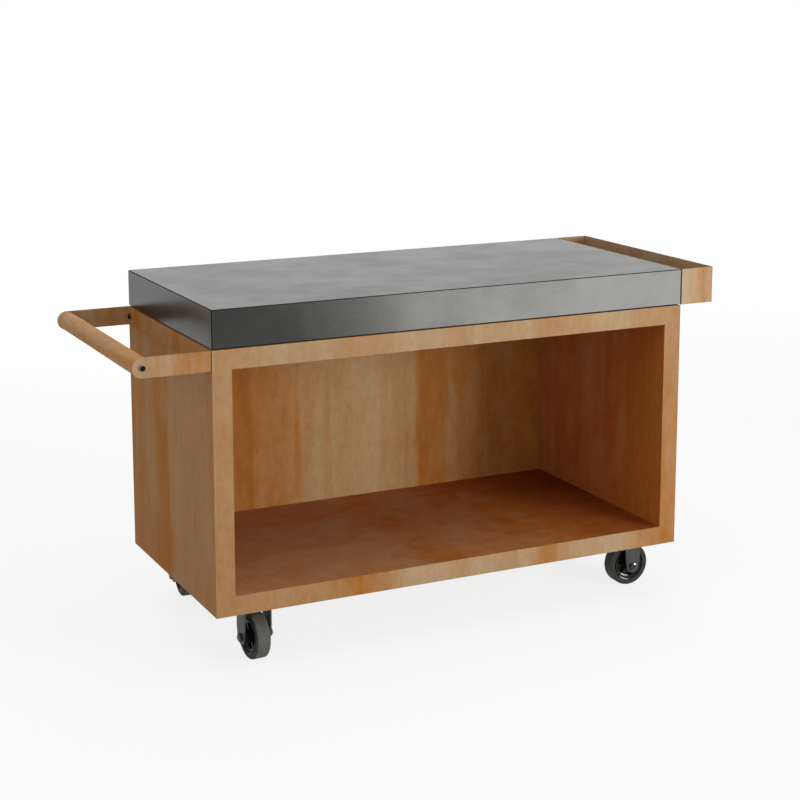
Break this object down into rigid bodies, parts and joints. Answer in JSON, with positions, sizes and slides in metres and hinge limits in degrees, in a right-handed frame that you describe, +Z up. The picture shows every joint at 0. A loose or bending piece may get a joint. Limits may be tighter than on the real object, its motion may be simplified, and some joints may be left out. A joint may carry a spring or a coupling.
{
  "type": "mobile prep table",
  "caption": "Rolling outdoor prep table: open weathering-steel cabinet on swivel castors, thick dark worktop, push handle on one end and a planter trough on the other.",
  "frame": {"origin": "on the floor, under the middle of the table's outer box", "axes": "+X to the right along the open front, from the push handle to the planter; +Y to the back; +Z up"},
  "size_m": [1.651, 0.66, 0.919],
  "materials": {
    "weathering_steel": "weathered rust patina, matte, with vertical run streaks",
    "worktop_ceramic": "dark grey, satin, cloudy like honed slate",
    "hidden_steel": "galvanised, dull",
    "pad_rubber": "matte black",
    "spacer_plastic": "matte black",
    "black_screw": "black oxide, satin",
    "zinc_fastener": "zinc plated",
    "castor_steel": "dark grey powder coat, satin",
    "castor_axle_steel": "dark zinc",
    "castor_rim": "black moulded plastic",
    "castor_tyre": "dark grey rubber, matte"
  },
  "bodies": {
    "table": {"front_frame": "weathering_steel", "left_side_panel": "weathering_steel", "right_side_panel": "weathering_steel", "back_panel": "weathering_steel", "bottom_panel": "weathering_steel", "top_deck": "weathering_steel", "left_lining": "weathering_steel", "right_lining": "weathering_steel", "shelf_floor": "weathering_steel", "ceiling_lining": "weathering_steel", "handle_bracket": "weathering_steel", "handle_bar": "weathering_steel", "planter_trough": "weathering_steel", "worktop_panel": "worktop_ceramic", "worktop_front_edge": "worktop_ceramic", "worktop_rear_edge": "worktop_ceramic", "worktop_left_edge": "worktop_ceramic", "worktop_right_edge": "worktop_ceramic", "front_floor_channel": "hidden_steel", "rear_floor_channel": "hidden_steel", "worktop_frame": "hidden_steel", "handle_end_plugs": "hidden_steel", "worktop_pads": "pad_rubber", "planter_spacers": "spacer_plastic", "handle_bar_screws": "black_screw", "handle_bracket_screws": "black_screw", "planter_screws": "black_screw", "worktop_bolts": "zinc_fastener", "castor_bolts": "zinc_fastener", "m8_nuts": "zinc_fastener", "castor_fl_plate": "castor_steel", "castor_fl_race": "castor_steel", "castor_fr_plate": "castor_steel", "castor_fr_race": "castor_steel", "castor_rl_plate": "castor_steel", "castor_rl_race": "castor_steel", "castor_rr_plate": "castor_steel", "castor_rr_race": "castor_steel", "castor_fl_king_pin": "castor_axle_steel", "castor_fr_king_pin": "castor_axle_steel", "castor_rl_king_pin": "castor_axle_steel", "castor_rr_king_pin": "castor_axle_steel"},
    "fork_fl": {"castor_fl_fork": "castor_steel", "castor_fl_axle": "castor_axle_steel"},
    "wheel_fl": {"castor_fl_rim": "castor_rim", "castor_fl_tyre": "castor_tyre"},
    "fork_fr": {"castor_fr_fork": "castor_steel", "castor_fr_axle": "castor_axle_steel"},
    "wheel_fr": {"castor_fr_rim": "castor_rim", "castor_fr_tyre": "castor_tyre"},
    "fork_rl": {"castor_rl_fork": "castor_steel", "castor_rl_axle": "castor_axle_steel"},
    "wheel_rl": {"castor_rl_rim": "castor_rim", "castor_rl_tyre": "castor_tyre"},
    "fork_rr": {"castor_rr_fork": "castor_steel", "castor_rr_axle": "castor_axle_steel"},
    "wheel_rr": {"castor_rr_rim": "castor_rim", "castor_rr_tyre": "castor_tyre"}
  },
  "joints": [
    {"name": "castor_fl_swivel", "type": "hinge", "parent": "table", "child": "fork_fl", "pos_m": [-0.5025, -0.19, 0], "axis": [0, 0, 1], "continuous": true},
    {"name": "castor_fl_spin", "type": "hinge", "parent": "fork_fl", "child": "wheel_fl", "pos_m": [-0.49866, -0.24487, 0.06], "axis": [0.9976, 0.0698, 0], "continuous": true},
    {"name": "castor_fr_swivel", "type": "hinge", "parent": "table", "child": "fork_fr", "pos_m": [0.5975, -0.19, 0], "axis": [0, 0, 1], "continuous": true},
    {"name": "castor_fr_spin", "type": "hinge", "parent": "fork_fr", "child": "wheel_fr", "pos_m": [0.65249, -0.19096, 0.06], "axis": [0.0175, 0.9998, 0], "continuous": true},
    {"name": "castor_rl_swivel", "type": "hinge", "parent": "table", "child": "fork_rl", "pos_m": [-0.5025, 0.213, 0], "axis": [0, 0, 1], "continuous": true},
    {"name": "castor_rl_spin", "type": "hinge", "parent": "fork_rl", "child": "wheel_rl", "pos_m": [-0.50058, 0.26797, 0.06], "axis": [-0.9994, 0.0349, 0], "continuous": true},
    {"name": "castor_rr_swivel", "type": "hinge", "parent": "table", "child": "fork_rr", "pos_m": [0.5975, 0.213, 0], "axis": [0, 0, 1], "continuous": true},
    {"name": "castor_rr_spin", "type": "hinge", "parent": "fork_rr", "child": "wheel_rr", "pos_m": [0.64414, 0.24215, 0.06], "axis": [-0.5299, 0.848, 0], "continuous": true}
  ]
}
